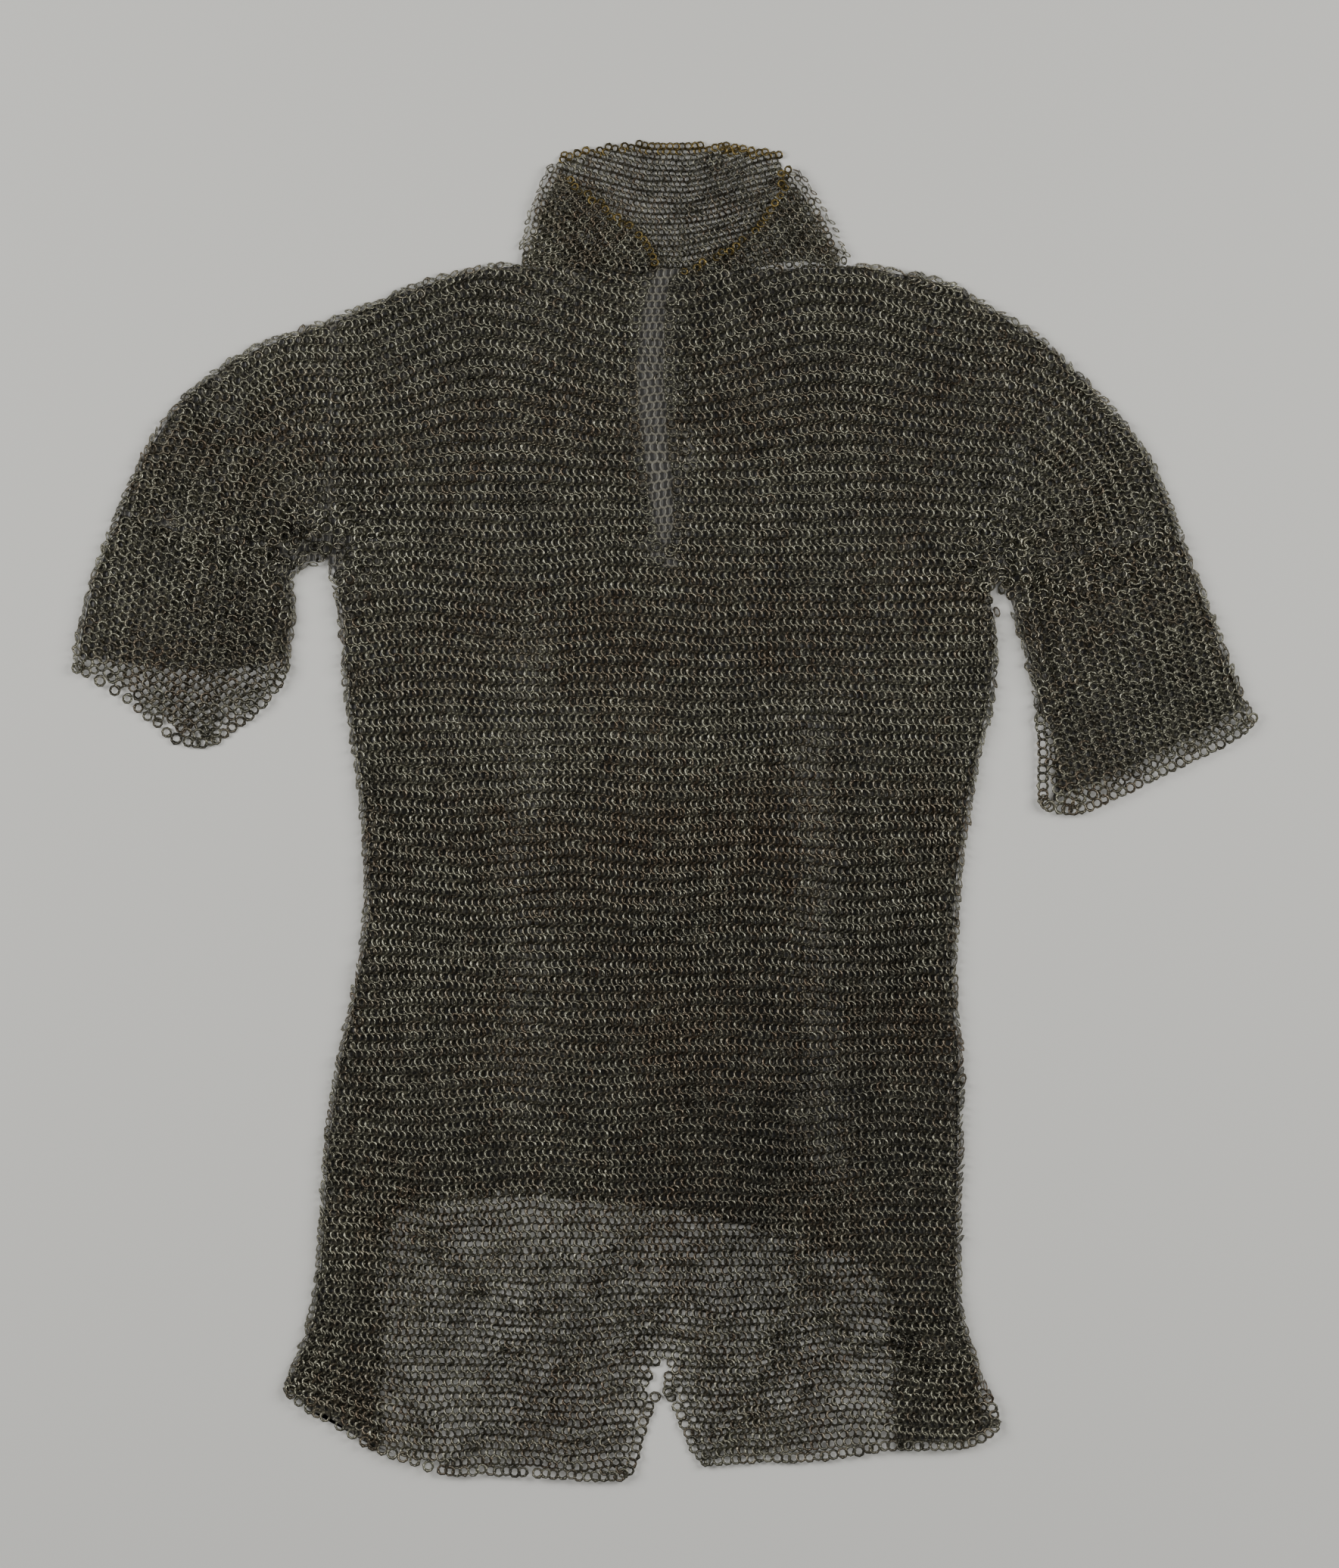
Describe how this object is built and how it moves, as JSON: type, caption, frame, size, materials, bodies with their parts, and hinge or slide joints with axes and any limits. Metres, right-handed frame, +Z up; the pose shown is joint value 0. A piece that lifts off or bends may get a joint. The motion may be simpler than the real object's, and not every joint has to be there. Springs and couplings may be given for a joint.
{
  "type": "chainmail hauberk",
  "caption": "Short-sleeved mail shirt of small linked iron rings laid flat, with a stand-up collar edged in brass rings, a neck slit and a short skirt slit.",
  "frame": {"origin": "middle of the footprint's box, on the surface that the hauberk lies on", "axes": "+Y towards the collar, +Z up from the back of the hauberk to its front, +X to the viewer's right when seen from above"},
  "size_m": [0.8594, 0.974, 0.014],
  "materials": {
    "mail_iron": "dark patinated iron wire, satin, worn brighter on top",
    "mail_brass": "dull aged brass wire, satin"
  },
  "bodies": {
    "root": {"front_left": "mail_iron", "front_right": "mail_iron", "front_lower": "mail_iron", "back_panel": "mail_iron", "sleeve_left_upper": "mail_iron", "sleeve_left_under": "mail_iron", "sleeve_right_upper": "mail_iron", "sleeve_right_under": "mail_iron", "collar_back": "mail_iron", "collar_left": "mail_iron", "collar_right": "mail_iron", "collar_edge_back": "mail_brass", "collar_edge_left": "mail_brass", "collar_edge_right": "mail_brass"}
  },
  "joints": []
}
